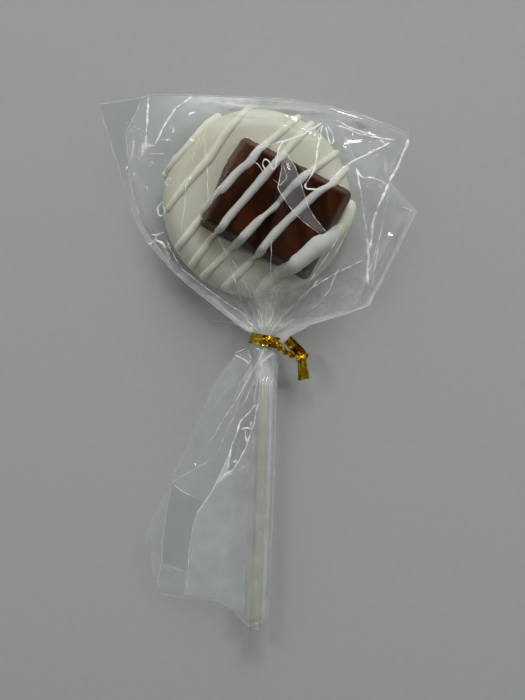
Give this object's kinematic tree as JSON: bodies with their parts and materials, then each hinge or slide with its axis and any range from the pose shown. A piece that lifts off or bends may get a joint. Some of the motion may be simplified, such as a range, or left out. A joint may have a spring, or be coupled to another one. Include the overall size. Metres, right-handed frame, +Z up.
{
  "type": "cake pop",
  "caption": "Round candy-coated cake on a paper stick with a chocolate wafer piece under drizzled icing, in a clear bag closed with a gold twist tie; lies face up.",
  "frame": {"origin": "on the surface that the pop lies on, under the centre of the round cake", "axes": "+Z up out of the decorated face, +Y along the pop from the stick towards the top of the cake, +X to the right as seen from above"},
  "size_m": [0.1119, 0.1883, 0.0289],
  "materials": {
    "candy_coating": "satin ivory candy coating and icing",
    "milk_chocolate": "satin milk chocolate with greyed edges",
    "white_paper": "rolled white paper",
    "clear_film": "glossy crinkled clear film",
    "gold_foil": "bright crumpled gold foil"
  },
  "bodies": {
    "root": {"coated_cake": "candy_coating", "chocolate_bar_piece": "milk_chocolate", "paper_stick": "white_paper", "clear_bag": "clear_film", "twist_tie": "gold_foil"}
  },
  "joints": []
}
